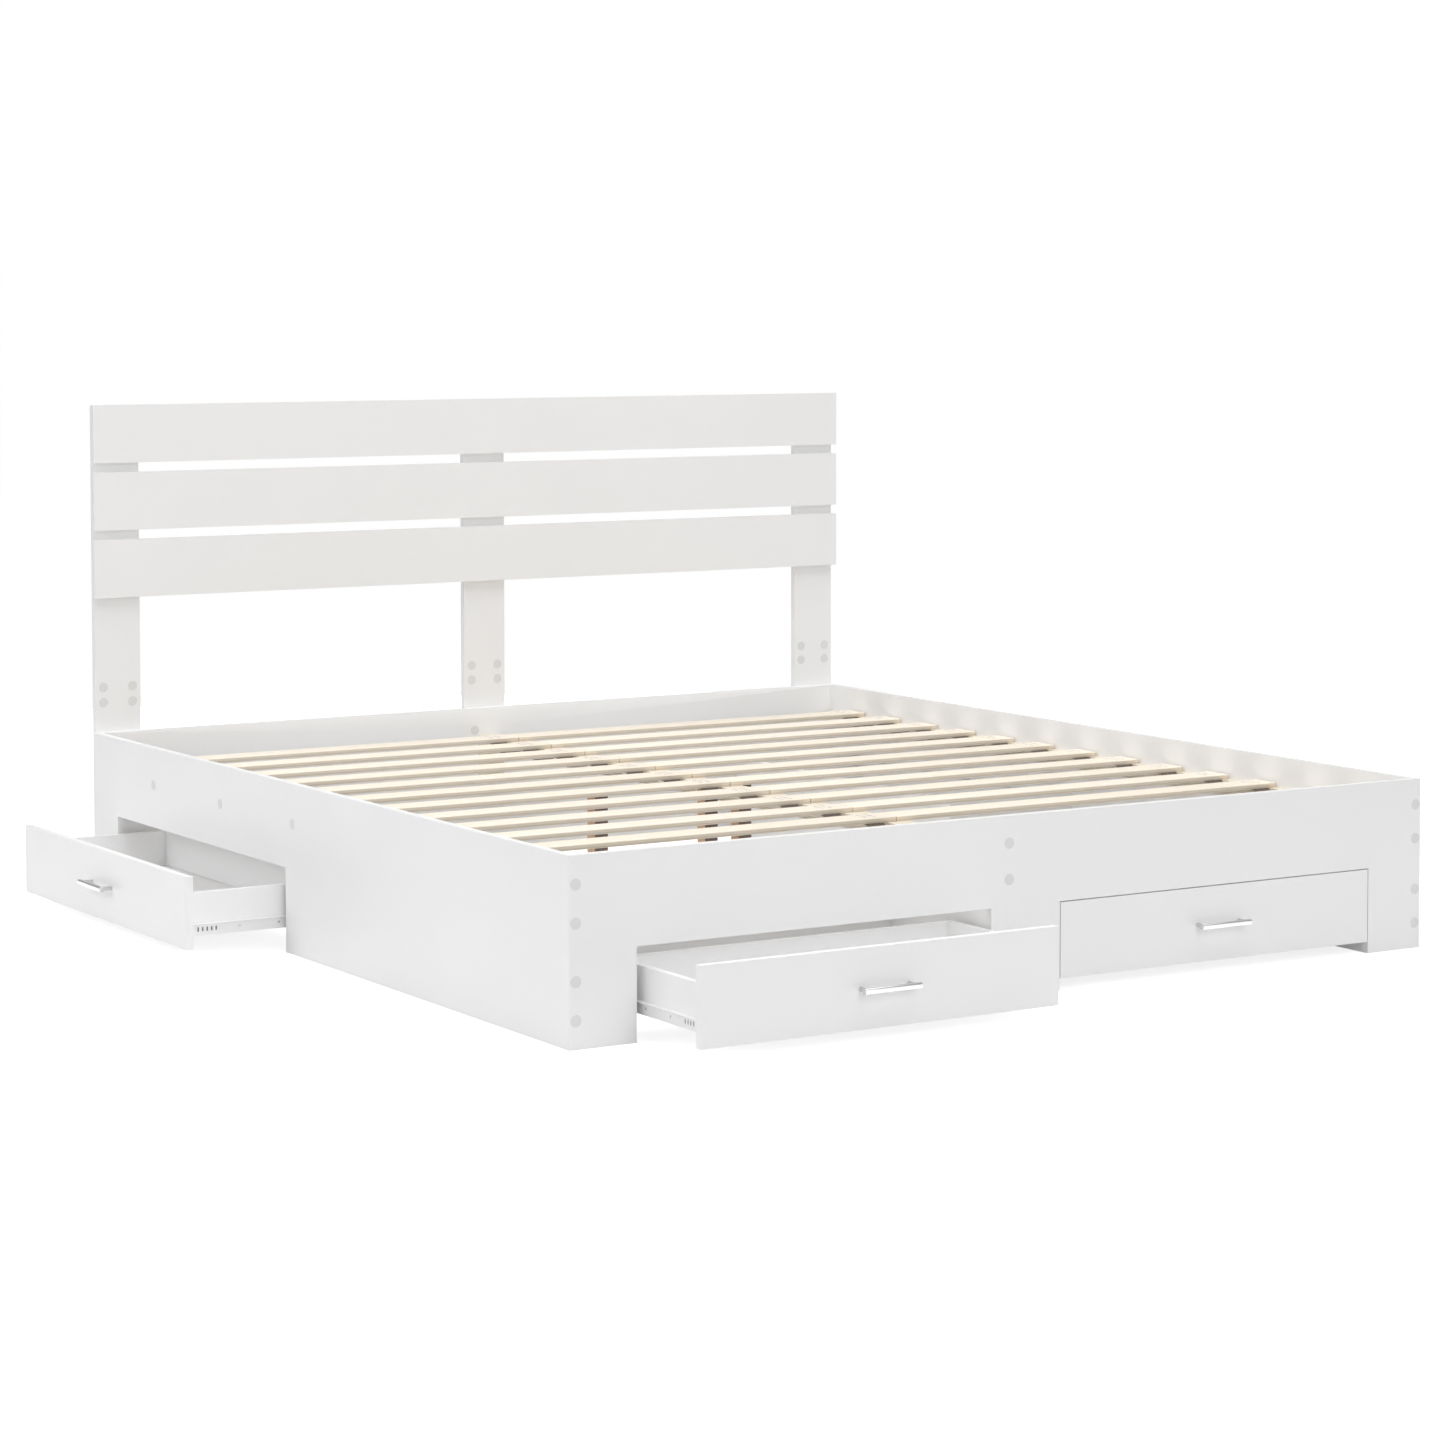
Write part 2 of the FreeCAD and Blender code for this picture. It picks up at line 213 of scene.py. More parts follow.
def makeStudio(setup):
    middleX, middleY = setup["floorMiddle"]
    # The upper sheet is what is seen. The lower one gives the bed its light from below.
    bounce = stagePiece("studioBounce", floorSheet(setup, -1.5 * mm),
                        paleFinish("paleBounce", setup["bounceColour"], setup["bounceGlow"]))
    bounce.visible_camera = False
    bounce.visible_glossy = False
    finish = paleFinish("paleFloor", setup["floorColour"], setup["floorGlow"][0])
    tree = finish.node_tree
    shader = tree.nodes["Principled BSDF"]
    coordinates = addNode(tree, "ShaderNodeTexCoord")
    away = addNode(tree, "ShaderNodeVectorMath",
                   {0: coordinates.outputs["Object"], 1: (middleX, middleY, 0.0)}, operation="DISTANCE")
    tree.links.new(between(tree, away.outputs["Value"], *setup["floorGlow"], *setup["glowReach"]),
                   shader.inputs["Emission Strength"])
    floor = stagePiece("studioFloor", floorSheet(setup, -0.5 * mm), finish)
    floor.visible_diffuse = False
    floor.visible_shadow = False

    # The white backdrop is only seen: it lights nothing and lets the soft surround light through.
    shell = bmesh.new()
    bmesh.ops.create_icosphere(shell, subdivisions=4, radius=setup["backdropRadius"])
    backdrop = stagePiece("studioBackdrop", shell, paleFinish("paleBackdrop", (0.0, 0.0, 0.0), 1.0))
    backdrop.visible_diffuse = False
    backdrop.visible_glossy = False
    backdrop.visible_shadow = False

    world = bpy.data.worlds.new("softSurround")
    world.use_nodes = True
    surround = world.node_tree.nodes["Background"]
    surround.inputs["Color"].default_value = (1.0, 1.0, 1.0, 1.0)
    surround.inputs["Strength"].default_value = setup["surround"]
    bpy.context.scene.world = world
    for name, (place, aim, size, watts) in setup["lamps"].items():
        lamp = bpy.data.lights.new(name, "AREA")
        lamp.shape = "SQUARE"
        lamp.size = size
        lamp.energy = watts
        stand = bpy.data.objects.new(name, lamp)
        bpy.context.scene.collection.objects.link(stand)
        stand.location = place
        stand.rotation_euler = (Vector(aim) - Vector(place)).to_track_quat("-Z", "Y").to_euler()
    bpy.context.scene.view_settings.view_transform = "Standard"


makeCamera(cameraSetup)
makeStudio(studio)
print("camera, floor and lamps are up")


# Finishes, one function for each surface

boardLook = {
    "pale": (0.932, 0.932, 0.934),
    "shaded": (0.922, 0.922, 0.925),
    "roughness": (0.34, 0.44),
    "grainSize": 520.0,        # the fine pressed texture, in bumps per metre
    "relief": 0.06,
}


def whiteBoardFinish(name, look, tint=1.0):
    pale = tuple(tint * value for value in look["pale"])
    shaded = tuple(tint * value for value in look["shaded"])
    finish, tree, shader = startFinish(name, pale, 0.4)
    clouds = noise(tree, stretched(tree, (1.0, 1.0, 1.0)), 3.5, 4.0)
    tree.links.new(tints(tree, clouds, [(0.35, shaded), (0.65, pale)]), shader.inputs["Base Color"])
    fine = noise(tree, stretched(tree, (1.0, 1.0, 1.0)), look["grainSize"], 2.0)
    low, high = look["roughness"]
    smears = noise(tree, stretched(tree, (1.0, 1.0, 1.0)), 9.0, 3.0)
    tree.links.new(between(tree, smears, low, high), shader.inputs["Roughness"])
    relief(tree, shader, fine, look["relief"], 0.0003)
    return finish


slatWoodLook = {
    "pale": (0.965, 0.885, 0.765),
    "deep": (0.94, 0.85, 0.715),
    "glueLine": (0.55, 0.46, 0.36),
    "glueAmount": 0.5,
    "crossLayer": (0.86, 0.79, 0.70),
    "plies": 5,
    "poreTint": (0.94, 0.92, 0.89),
    "figureScale": (1.6, 46.0, 46.0),      # long along the slat, fine across it
    "poreScale": (40.0, 1500.0, 1500.0),
    "roughness": 0.62,
    "toneSpread": 0.04,
    "paintedEdgeShade": (0.66, 0.97),     # painted shade: the sawn edge's tone at its foot and at its top
}
black, white = (0.0, 0.0, 0.0), (1.0, 1.0, 1.0)


def slatWoodFinish(name, look, base, thickness):
    finish, tree, shader = startFinish(name, look["pale"], look["roughness"])
    tone = addNode(tree, "ShaderNodeAttribute", attribute_name="slatTone").outputs["Fac"]
    coordinates = addNode(tree, "ShaderNodeTexCoord")
    shifted = addNode(tree, "ShaderNodeVectorMath", {0: coordinates.outputs["Object"]}, operation="ADD")
    apart = addNode(tree, "ShaderNodeCombineXYZ", {"X": maths(tree, "MULTIPLY", tone, 37.0),
                                                  "Y": maths(tree, "MULTIPLY", tone, 5.0)})
    tree.links.new(apart.outputs["Vector"], shifted.inputs[1])
    flow = addNode(tree, "ShaderNodeMapping",
                   {"Vector": shifted.outputs["Vector"], "Scale": look["figureScale"]})
    figure = noise(tree, flow.outputs["Vector"], 1.4, 5.0, 0.62, 0.7)
    pores = addNode(tree, "ShaderNodeMapping",
                    {"Vector": shifted.outputs["Vector"], "Scale": look["poreScale"]})
    fine = noise(tree, pores.outputs["Vector"], 1.0, 2.0, 0.6)
    lateWood = tuple((2 * a + b) / 3 for a, b in zip(look["pale"], look["deep"]))
    wood = tints(tree, figure, [(0.30, look["deep"]), (0.52, look["pale"]), (0.80, lateWood)])
    grained = mixed(tree, 1.0, wood, tints(tree, fine, [(0.28, look["poreTint"]), (0.5, white)]), "MULTIPLY")
    spread = look["toneSpread"]
    darkest = (1.0 - spread, 1.0 - 1.15 * spread, 1.0 - 1.4 * spread)
    shade = tints(tree, tone, [(0.0, darkest), (1.0, white)])
    toned = mixed(tree, 1.0, grained, shade, "MULTIPLY")
    # The sawn edges show the plies: darker cross layers between the pale ones, with thin glue lines.
    height = addNode(tree, "ShaderNodeSeparateXYZ", {"Vector": coordinates.outputs["Object"]}).outputs["Z"]
    layer = maths(tree, "MULTIPLY", maths(tree, "SUBTRACT", height, base), look["plies"] / thickness)
    within = maths(tree, "FRACT", layer)
    line = tints(tree, within, [(0.0, white), (0.07, black), (0.93, black), (1.0, white)])
    facing = addNode(tree, "ShaderNodeSeparateXYZ", {"Vector": coordinates.outputs["Normal"]}).outputs["Z"]
    onEdge = maths(tree, "LESS_THAN", maths(tree, "ABSOLUTE", facing), 0.35)
    crossLayer = maths(tree, "GREATER_THAN", maths(tree, "FRACT", maths(tree, "MULTIPLY", layer, 0.5)), 0.5)
    darkened = mixed(tree, maths(tree, "MULTIPLY", crossLayer, 0.55), toned,
                     mixed(tree, 1.0, toned, (*look["crossLayer"], 1.0), "MULTIPLY"))
    edged = mixed(tree, maths(tree, "MULTIPLY", line, look["glueAmount"]), darkened, (*look["glueLine"], 1.0))
    # Painted shade: the sawn edge is darkened towards its foot, most along its lowest fifth, standing in for
    # the shade under the slat.
    foot, top = look["paintedEdgeShade"]
    paintedShadeFade = tints(tree, maths(tree, "DIVIDE", layer, look["plies"]),
                 [(0.0, (foot, foot, foot)), (0.2, (0.6 * foot + 0.4 * top,) * 3), (1.0, (top, top, top))])
    edged = mixed(tree, 1.0, edged, paintedShadeFade, "MULTIPLY")
    tree.links.new(mixed(tree, onEdge, toned, edged), shader.inputs["Base Color"])
    relief(tree, shader, fine, 0.25, 0.0002)
    return finish


pineLooks = {
    # rawPine's dark colour on its faces towards the bed's foot and head is painted shade.
    "rawPine": {"pale": (0.84, 0.58, 0.40), "ring": (0.74, 0.47, 0.29), "roughness": 0.7,
                "ringsPerMetre": 190.0, "paintedEndShade": (0.20, 0.15, 0.13)},
    "palePine": {"pale": (0.88, 0.81, 0.69), "ring": (0.83, 0.73, 0.58), "roughness": 0.62,
                 "ringsPerMetre": 150.0},
}


def pineFinish(name, look, along):
    # The grain runs along axis 0, 1 or 2.
    finish, tree, shader = startFinish(name, look["pale"], look["roughness"])
    scale = [1.0, 1.0, 1.0]
    scale[along] = 0.06
    points = stretched(tree, scale, (0.03, 0.05, 0.4))
    rings = addNode(tree, "ShaderNodeTexWave",
                    {"Vector": points, "Scale": look["ringsPerMetre"] / 6.0, "Distortion": 2.2,
                     "Detail": 3.0, "Detail Scale": 0.6},
                    wave_type="RINGS", rings_direction=("X", "Y", "Z")[along]).outputs["Fac"]
    scale[along] = 0.04
    fibres = noise(tree, stretched(tree, scale), 900.0, 3.0)
    wood = tints(tree, rings, [(0.15, look["pale"]), (0.80, look["ring"]), (1.0, look["pale"])])
    fine = tints(tree, fibres, [(0.3, (0.84, 0.82, 0.80)), (0.6, (1.0, 1.0, 1.0))])
    grained = mixed(tree, 1.0, wood, fine, "MULTIPLY")
    if "paintedEndShade" in look:        # painted shade: the faces towards the bed's foot and head are coloured dark, standing in for the shade on them
        normal = addNode(tree, "ShaderNodeTexCoord").outputs["Normal"]
        facing = addNode(tree, "ShaderNodeSeparateXYZ", {"Vector": normal}).outputs["Y"]
        paintedShadeFaces = maths(tree, "GREATER_THAN", maths(tree, "ABSOLUTE", facing), 0.8)
        grained = mixed(tree, paintedShadeFaces, grained, mixed(tree, 1.0, fine, (*look["paintedEndShade"], 1.0), "MULTIPLY"))
    tree.links.new(grained, shader.inputs["Base Color"])
    relief(tree, shader, fibres, 0.4, 0.0003)
    return finish


webbingLook = {
    "yarn": (0.150, 0.110, 0.085),
    "gap": (0.060, 0.044, 0.034),
    "yarnsPerMetre": 620.0,
    "roughness": 0.85,
}


def webbingFinish(name, look):
    finish, tree, shader = startFinish(name, look["yarn"], look["roughness"])
    points = stretched(tree, (1.0, 1.0, 1.0))
    waves = []
    for direction in ("X", "Y"):
        wave = addNode(tree, "ShaderNodeTexWave", {"Vector": points, "Scale": look["yarnsPerMetre"] / 6.28},
                       bands_direction=direction)
        waves.append(wave.outputs["Fac"])
    weave = maths(tree, "MULTIPLY", waves[0], waves[1])
    fuzz = noise(tree, stretched(tree, (1.0, 1.0, 1.0)), 1400.0, 3.0)
    yarns = tints(tree, maths(tree, "ADD", weave, maths(tree, "MULTIPLY", fuzz, 0.3)),
                  [(0.1, look["gap"]), (0.6, look["yarn"])])
    tree.links.new(yarns, shader.inputs["Base Color"])
    shader.inputs["Sheen Weight"].default_value = 0.2
    relief(tree, shader, weave, 0.8, 0.0004)
    return finish


metalLooks = {
    "runnerPaint": {"colour": (0.955, 0.955, 0.955), "roughness": (0.30, 0.42), "metallic": 0.0,
                    "scale": (1.0, 1.0, 1.0), "grain": 1100.0, "relief": 0.10},
    "handleSatinAcross": {"colour": (0.70, 0.70, 0.71), "roughness": (0.28, 0.40), "metallic": 1.0,
                          "scale": (0.02, 1.0, 1.0), "grain": 2600.0, "relief": 0.12},
    "handleSatinAlong": {"colour": (0.70, 0.70, 0.71), "roughness": (0.28, 0.40), "metallic": 1.0,
                         "scale": (1.0, 0.02, 1.0), "grain": 2600.0, "relief": 0.12},
    "zincScrew": {"colour": (0.62, 0.62, 0.60), "roughness": (0.28, 0.50), "metallic": 1.0,
                  "scale": (1.0, 1.0, 1.0), "grain": 900.0, "relief": 0.15},
    "stapleWire": {"colour": (0.60, 0.60, 0.62), "roughness": (0.25, 0.40), "metallic": 1.0,
                   "scale": (0.1, 1.0, 1.0), "grain": 2500.0, "relief": 0.10},
    "rollerNylon": {"colour": (0.86, 0.86, 0.84), "roughness": (0.42, 0.55), "metallic": 0.0,
                    "scale": (1.0, 1.0, 1.0), "grain": 700.0, "relief": 0.08},
    # A dark insert that is painted shade, standing for the shadow inside the runner slots.
    "slotPaintedShade": {"colour": (0.20, 0.20, 0.21), "roughness": (0.60, 0.75), "metallic": 0.0,
                    "scale": (1.0, 1.0, 1.0), "grain": 1500.0, "relief": 0.20},
    "capFilm": {"colour": (0.80, 0.80, 0.80), "roughness": (0.42, 0.55), "metallic": 0.0,
                "scale": (1.0, 1.0, 1.0), "grain": 1400.0, "relief": 0.06},
}


def hardFinish(name):
    look = metalLooks[name]
    colour = look["colour"]
    finish, tree, shader = startFinish(name, colour, look["roughness"][0], look["metallic"])
    fine = noise(tree, stretched(tree, look["scale"]), look["grain"], 3.0)
    darker = tuple(0.955 * value for value in colour)
    tree.links.new(tints(tree, fine, [(0.3, darker), (0.6, colour)]), shader.inputs["Base Color"])
    tree.links.new(between(tree, fine, *look["roughness"]), shader.inputs["Roughness"])
    relief(tree, shader, fine, look["relief"], 0.0001)
    return finish


slatLow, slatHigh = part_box("left_slats")
finishes = {
    "board": whiteBoardFinish("whiteBoard", boardLook),
    "bottom": whiteBoardFinish("drawerBottomBoard", boardLook, 0.985),
    "slat": slatWoodFinish("slatBirch", slatWoodLook, slatLow.z, slatHigh.z - slatLow.z),
    "pineAlongX": pineFinish("palePineAcross", pineLooks["palePine"], 0),
    "pineAlongY": pineFinish("palePineAlong", pineLooks["palePine"], 1),
    "pineAlongZ": pineFinish("rawPineUprightPaintedShade", pineLooks["rawPine"], 2),
    "webbing": webbingFinish("wovenWebbing", webbingLook),
}
for finishName in metalLooks:
    finishes[finishName] = hardFinish(finishName)
print("finishes made:", len(finishes))


# Mesh helpers

def solidBoxes(node):
    # The box of each separate solid in a CAD node, as its lowest and highest corner.
    mesh = bmesh.new()
    mesh.from_mesh(nodes[node].data)
    bmesh.ops.remove_doubles(mesh, verts=mesh.verts, dist=1e-6)
    boxes, seen = [], set()
    for start in mesh.verts:
        if start in seen:
            continue
        seen.add(start)
        group, queue = [], [start]
        while queue:
            corner = queue.pop()
            group.append(corner.co.copy())
            for edge in corner.link_edges:
                other = edge.other_vert(corner)
                if other not in seen:
                    seen.add(other)
                    queue.append(other)
        boxes.append((Vector([min(c[i] for c in group) for i in range(3)]),
                      Vector([max(c[i] for c in group) for i in range(3)])))
    mesh.free()
    return boxes


def addRoundedBox(mesh, low, high, radius, steps=3):
    corners = bmesh.ops.create_cube(mesh, size=1.0)["verts"]
    for corner in corners:
        corner.co = Vector([high[i] if corner.co[i] > 0 else low[i] for i in range(3)])
    edges = {edge for corner in corners for edge in corner.link_edges}
    bmesh.ops.bevel(mesh, geom=list(edges), offset=radius, segments=steps, profile=0.5, affect="EDGES")


def addLoops(mesh, loops, closeStart=True, closeEnd=True):
    # Joins closed loops of points, one after another, into a skin.
    rows = [[mesh.verts.new(point) for point in loop] for loop in loops]
    count = len(rows[0])
    for first, second in zip(rows, rows[1:]):
        for i in range(count):
            j = (i + 1) % count
            mesh.faces.new((first[i], first[j], second[j], second[i]))
    if closeStart:
        mesh.faces.new(list(reversed(rows[0])))
    if closeEnd:
        mesh.faces.new(rows[-1])
    return rows


def turnedLoops(outline, place, axis, steps=32):
    # outline holds radius and height pairs, turned round axis from place.
    turn = Vector(axis).to_track_quat("Z", "X")
    loops = []
    for radius, height in outline:
        angles = [2 * math.pi * i / steps for i in range(steps)]
        ring = [Vector((radius * math.cos(angle), radius * math.sin(angle), height)) for angle in angles]
        loops.append([Vector(place) + turn @ point for point in ring])
    return loops


def makePiece(name, mesh, body, finish, replaced=()):
    bmesh.ops.recalc_face_normals(mesh, faces=mesh.faces)
    data = bpy.data.meshes.new(name)
    mesh.to_mesh(data)
    mesh.free()
    data.materials.append(finish)
    data.set_sharp_from_angle(angle=math.radians(35))
    piece = bpy.data.objects.new(name, data)
    bpy.context.scene.collection.objects.link(piece)
    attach(piece, body)
    if replaced:
        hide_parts(*replaced)
    return piece


def softEdges(node, width, steps=2):
    # Rounds a carried-over part's edges without touching its mesh.
    part = nodes[node]
    weld = part.modifiers.new("joinCorners", "WELD")
    weld.merge_threshold = 0.00001
    flat = part.modifiers.new("plainFaces", "DECIMATE")
    flat.decimate_type = "DISSOLVE"
    flat.angle_limit = math.radians(1)
    bevel = part.modifiers.new("softEdges", "BEVEL")
    bevel.width = width
    bevel.segments = steps
    bevel.limit_method = "ANGLE"
    bevel.angle_limit = math.radians(40)
    bevel.use_clamp_overlap = True
    bevel.harden_normals = True


def dress(node, finish, edge=0.0, steps=2):
    data = nodes[node].data
    data.materials.clear()
    data.materials.append(finish)
    if edge:
        softEdges(node, edge, steps)


# White boards

boardEdges = {"panel": 0.8 * mm, "opening": 0.4 * mm, "drawer": 0.5 * mm, "bottom": 0.2 * mm}
panelNodes = ["foot_panel", "left_side_panel", "right_side_panel", "head_panel",
              "top_plank", "middle_plank", "bottom_plank", "left_post", "centre_post", "right_post",
              "foot_runner_boards", "left_runner_boards", "right_runner_boards",
              "foot_back_board", "left_back_board", "right_back_board"]
for node in panelNodes:
    hasOpening = node in ("foot_panel", "left_side_panel", "right_side_panel")
    dress(node, finishes["board"], boardEdges["opening" if hasOpening else "panel"])
for bay in bays:
    dress(bay + "_front", finishes["board"], boardEdges["opening"])
    dress(bay + "_box", finishes["board"], boardEdges["drawer"])
    dress(bay + "_bottom", finishes["bottom"], boardEdges["bottom"])
print("boards dressed")


# Slats, staples and webbing

slatShape = {"edgeRadius": 1.8 * mm, "edgeSteps": 3, "seed": 41}


def makeSlats(shape):
    chance = random.Random(shape["seed"])
    for node, name in (("left_slats", "leftSlats"), ("right_slats", "rightSlats")):
        mesh = bmesh.new()
        boxes = sorted(solidBoxes(node), key=lambda box: box[0].y)
        for low, high in boxes:
            addRoundedBox(mesh, low, high, shape["edgeRadius"], shape["edgeSteps"])
        tone = mesh.verts.layers.float.new("slatTone")
        first = boxes[0][0].y
        pitch = boxes[1][0].y - first
        tones = [chance.random() for _ in boxes]
        for corner in mesh.verts:
            corner[tone] = tones[int((corner.co.y - first) / pitch + 1e-4)]
        makePiece(name, mesh, "bed_frame", finishes["slat"], [node])


stapleShape = {
    "crown": 8.0 * mm,
    "wire": 1.3 * mm,
    "thick": 0.7 * mm,
    "proud": 0.35 * mm,
    "drop": 2.0 * mm,          # how far the legs go into the slat
    "across": (-15.0 * mm, -5.0 * mm, 5.0 * mm, 15.0 * mm),    # rows of staples across a slat
    "along": (-9.0 * mm, 9.0 * mm),
    "scatter": 2.5 * mm,
    "seed": 12,
    "tilt": 0.16,
}


def makeStaples(shape):
    chance = random.Random(shape["seed"])
    rows = sorted(solidBoxes("left_slats"), key=lambda box: box[0].y)
    mesh = bmesh.new()
    for strapLow, strapHigh in sorted(solidBoxes("slat_straps"), key=lambda box: box[0].x):
        for low, high in rows:
            for forward in shape["across"]:
                for aside in shape["along"]:
                    x = (strapLow.x + strapHigh.x) / 2 + aside + chance.uniform(-1, 1) * shape["scatter"]
                    y = (low.y + high.y) / 2 + forward + chance.uniform(-1, 1) * shape["scatter"]
                    middle = Vector((x, y, high.z + shape["proud"]))
                    addStaple(mesh, middle, chance.uniform(-shape["tilt"], shape["tilt"]), shape)
    makePiece("slatStaples", mesh, "bed_frame", finishes["stapleWire"])


def addStaple(mesh, middle, angle, shape):
    half, thick, wire = shape["crown"] / 2, shape["thick"], shape["wire"] / 2
    drop = shape["drop"]
    path = [(-half, -drop), (-half, -0.5 * thick), (-half + 0.5 * thick, 0.0),
            (half - 0.5 * thick, 0.0), (half, -0.5 * thick), (half, -drop)]
    inner = [(-half + thick, -drop), (-half + thick, -1.3 * thick), (-half + 1.3 * thick, -thick),
             (half - 1.3 * thick, -thick), (half - thick, -1.3 * thick), (half - thick, -drop)]
    along = Vector((math.cos(angle), math.sin(angle), 0.0))
    across = Vector((-math.sin(angle), math.cos(angle), 0.0))
    loops = []
    for (xOut, zOut), (xIn, zIn) in zip(path, inner):
        outer = middle + along * xOut + Vector((0, 0, zOut))
        within = middle + along * xIn + Vector((0, 0, zIn))
        loops.append([outer - across * 0.8 * wire, outer + across * 0.8 * wire,
                      0.7 * outer + 0.3 * within + across * wire, within + across * wire,
                      within - across * wire, 0.7 * outer + 0.3 * within - across * wire])
    addLoops(mesh, loops)


webbingShape = {"sag": 14.0 * mm, "sagSteps": 10, "edgeRib": 0.25 * mm}


def makeWebbing(shape):
    rows = sorted(solidBoxes("left_slats"), key=lambda box: box[0].y)
    mesh = bmesh.new()
    for low, high in solidBoxes("slat_straps"):
        line = []                                  # y and drop along the strap
        for (rowLow, rowHigh), following in zip(rows, rows[1:] + [None]):
            line += [(rowLow.y, 0.0), (rowHigh.y, 0.0)]
            if following:
                gap = following[0].y - rowHigh.y
                for i in range(1, shape["sagSteps"]):
                    t = i / shape["sagSteps"]
                    line.append((rowHigh.y + gap * t, 4 * shape["sag"] * t * (1 - t)))
        loops = []
        rib = shape["edgeRib"]
        width = high.x - low.x
        for y, drop in line:
            top, base = high.z - drop, low.z - drop
            loops.append([(low.x, y, base + rib), (low.x + rib, y, base), (low.x + 0.08 * width, y, base),
                          (low.x + 0.12 * width, y, base + rib), (high.x - 0.12 * width, y, base + rib),
                          (high.x - 0.08 * width, y, base), (high.x - rib, y, base),
                          (high.x, y, base + rib), (high.x, y, top - rib), (high.x - rib, y, top),
                          (low.x + rib, y, top), (low.x, y, top - rib)])
        addLoops(mesh, loops)
    makePiece("webbingStraps", mesh, "bed_frame", finishes["webbing"], ["slat_straps"])


makeSlats(slatShape)
makeStaples(stapleShape)
makeWebbing(webbingShape)
print("slats, staples and webbing made")


# Softwood supports

supportEdge = 1.2 * mm
supportFinishes = {"slat_rails": "pineAlongY", "centre_beam": "pineAlongY", "beam_shoes": "pineAlongX",
                   "beam_cleat": "pineAlongZ", "support_legs": "pineAlongZ"}
for node, finishName in supportFinishes.items():
    dress(node, finishes[finishName], supportEdge)
print("supports dressed")


# Handles, runners and rollers

hardwareEdges = {"handle": 0.4 * mm, "runner": 0.25 * mm}
for bay in bays:
    brushed = "handleSatinAcross" if bay.startswith("foot") else "handleSatinAlong"
    dress(bay + "_handle", finishes[brushed], hardwareEdges["handle"])
    dress(bay + "_drawer_runners", finishes["runnerPaint"], hardwareEdges["runner"], 1)
    dress(bay + "_frame_runners", finishes["runnerPaint"], hardwareEdges["runner"], 1)

rollerShape = {"rim": 0.8 * mm, "web": 0.9 * mm, "hubRadius": 4.6 * mm, "bore": 2.6 * mm, "steps": 40}


def makeRollers(shape):
    for bay in bays:
        axis = (1, 0, 0) if bay.startswith("foot") else (0, 1, 0)
        for kind, name in (("drawer_rollers", "DrawerRollers"), ("frame_rollers", "FrameRollers")):
            mesh = bmesh.new()
            for low, high in solidBoxes(bay + "_" + kind):
                middle = (low + high) / 2
                width = (high - low).dot(Vector(axis))
                radius = (high.z - low.z) / 2
                half, rim = width / 2, shape["rim"]
                hub, web = shape["hubRadius"], shape["web"]
                outline = [(shape["bore"], half), (hub - 0.4 * mm, half), (hub, half - 0.4 * mm),
                           (hub + 0.3 * mm, half - web), (radius - 2.2 * mm, half - web),
                           (radius - 1.8 * mm, half), (radius - rim, half), (radius, half - rim)]
                outline += [(r, -h) for r, h in reversed(outline)]
                rings = turnedLoops(outline, middle, axis, shape["steps"])
                rows = addLoops(mesh, rings, False, False)
                for i in range(shape["steps"]):    # the bore's wall
                    j = (i + 1) % shape["steps"]
                    mesh.faces.new((rows[-1][i], rows[-1][j], rows[0][j], rows[0][i]))
            makePiece(bay.replace("_", "") + name, mesh, bay + "_" + kind, finishes["rollerNylon"],
                      [bay + "_" + kind])


runnerMarks = {
    "slots": 5,
    "firstSlot": 12.0 * mm,    # behind the drawer front
    "slotPitch": 9.0 * mm,
    "slotSize": (3.0 * mm, 8.0 * mm),
    "height": 11.0 * mm,       # above the drawer side's lower edge
    "steel": 1.0 * mm,
    "recess": 0.35 * mm,
    "screws": (96.0 * mm, 176.0 * mm),
    "headRadius": 2.6 * mm,
    "headProud": 0.35 * mm,
}


def makeRunnerMarks(marks):
    # Dark inserts in the drawer runners' slots, which are painted shade for the shadow inside the slots, and
    # the small screws that hold the runners on.
    for bay in bays:
        frontLow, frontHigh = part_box(bay + "_front")
        boxLow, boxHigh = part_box(bay + "_box")
        along = 1 if bay.startswith("foot") else 0
        across = 1 - along
        backwards = -1.0 if bay == "right" else 1.0
        start = frontLow[along] if bay == "right" else frontHigh[along]
        height = boxLow.z + marks["height"]
        slotShadeInserts, heads = bmesh.new(), bmesh.new()
        for side, face in ((-1.0, boxLow[across]), (1.0, boxHigh[across])):
            for i in range(marks["slots"]):
                near = start + backwards * (marks["firstSlot"] + i * marks["slotPitch"])
                ends = sorted((near, near + backwards * marks["slotSize"][0]))
                depths = sorted((face, face + side * (marks["steel"] - marks["recess"])))
                low = Vector((0, 0, height - marks["slotSize"][1] / 2))
                high = Vector((0, 0, height + marks["slotSize"][1] / 2))
                low[along], high[along] = ends
                low[across], high[across] = depths
                addRoundedBox(slotShadeInserts, low, high, 0.1 * mm, 1)
            axis = Vector((0, 0, 0))
            axis[across] = side
            radius, proud = marks["headRadius"], marks["headProud"]
            for distance in marks["screws"]:
                place = Vector((0, 0, height))
                place[along] = start + backwards * distance
                place[across] = face + side * marks["steel"]
                outline = [(radius, -0.3 * mm), (radius, 0.4 * proud), (0.75 * radius, proud),
                           (0.4 * radius, proud), (0.34 * radius, 0.2 * proud), (0.02 * mm, 0.1 * proud)]
                addLoops(heads, turnedLoops(outline, place, axis, 20))
        name, body = bay.replace("_", ""), bay + "_drawer"
        makePiece(name + "RunnerSlotShade", slotShadeInserts, body, finishes["slotPaintedShade"])
        makePiece(name + "RunnerScrews", heads, body, finishes["zincScrew"])


makeRollers(rollerShape)
makeRunnerMarks(runnerMarks)
print("handles, runners and rollers done")


# Screws and their caps

dress("frame_screws", finishes["zincScrew"])
capShape = {"dome": 0.15 * mm, "rim": 0.25 * mm, "steps": 36}


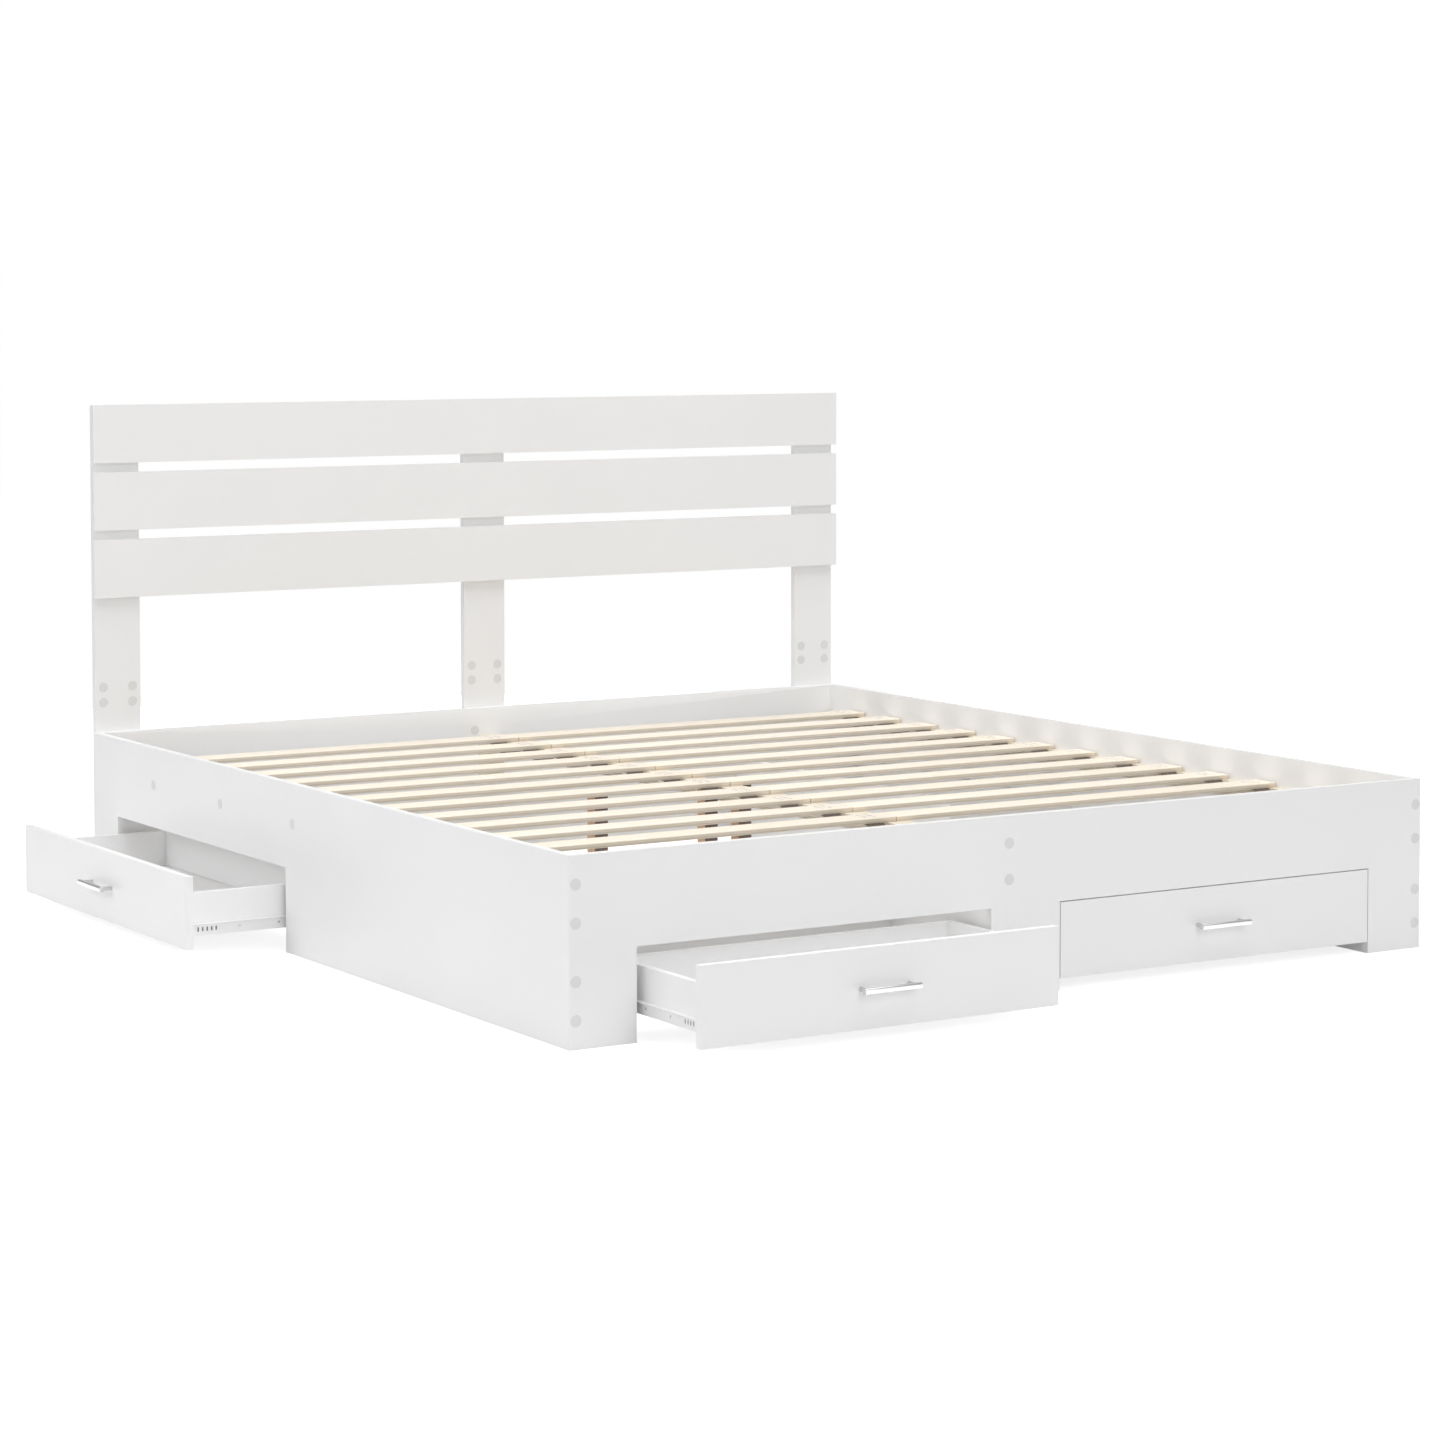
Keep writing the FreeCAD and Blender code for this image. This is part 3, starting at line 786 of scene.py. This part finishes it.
def makeCaps(shape):
    mesh = bmesh.new()
    for low, high in solidBoxes("screw_caps"):
        size = high - low
        thin = min(range(3), key=lambda i: size[i])
        radius, thick = max(size) / 2, size[thin]
        rim, dome = shape["rim"], shape["dome"]
        middle = (low + high) / 2
        axis = Vector((0, 0, 0))
        axis[thin] = 1.0 if thin == 0 and middle.x > 0 else -1.0
        base = middle - axis * thick / 2
        outline = [(radius, 0.0), (radius, thick - rim), (radius - 0.6 * rim, thick - 0.3 * rim),
                   (radius - 1.8 * rim, thick - 0.5 * dome), (0.5 * radius, thick), (0.02 * mm, thick)]
        addLoops(mesh, turnedLoops(outline, base, axis, shape["steps"]))
    makePiece("screwCaps", mesh, "bed_frame", finishes["capFilm"], ["screw_caps"])


postScrewShape = {
    "steps": 24,
    "shankRadius": 2.0 * mm,
    "rim": 0.4 * mm,
    "recess": 1.4 * mm,
    "arm": 2.3 * mm,
    "armHalf": 0.5 * mm,
}


def makePostScrews(shape):
    mesh = bmesh.new()
    for low, high in solidBoxes("post_screws"):
        addCrossScrew(mesh, low, high, shape)
    makePiece("postScrews", mesh, "bed_frame", finishes["zincScrew"], ["post_screws"])


def addCrossScrew(mesh, low, high, shape):
    # The head faces +Y and is flush with the post's back.
    head, length = (high.x - low.x) / 2, high.y - low.y
    place = Vector(((low.x + high.x) / 2, high.y, (low.z + high.z) / 2))
    rim, shank = shape["rim"], shape["shankRadius"]
    outline = [(0.2 * mm, -length), (shank, -length + 3 * mm), (shank, -2.5 * mm), (head, -rim),
               (head - rim, 0.0)]
    rows = addLoops(mesh, turnedLoops(outline, place, (0, 1, 0), shape["steps"]), True, False)
    top = rows[-1]
    arm, thin = shape["arm"], shape["armHalf"]
    cross = [(arm, -thin), (arm, thin), (thin, thin), (thin, arm), (-thin, arm), (-thin, thin),
             (-arm, thin), (-arm, -thin), (-thin, -thin), (-thin, -arm), (thin, -arm), (thin, -thin)]
    upper = [mesh.verts.new(place + Vector((x, 0.0, z))) for x, z in cross]
    lower = [mesh.verts.new(place + Vector((0.6 * x, -shape["recess"], 0.6 * z))) for x, z in cross]
    edges = [mesh.edges.get((a, b)) for a, b in zip(top, top[1:] + top[:1])]
    edges += [mesh.edges.new((a, b)) for a, b in zip(upper, upper[1:] + upper[:1])]
    bmesh.ops.triangle_fill(mesh, use_beauty=True, use_dissolve=False, edges=edges)
    count = len(cross)
    for i in range(count):
        j = (i + 1) % count
        mesh.faces.new((upper[i], upper[j], lower[j], lower[i]))
    mesh.faces.new(lower)


makeCaps(capShape)
makePostScrews(postScrewShape)
print("screws and caps made")
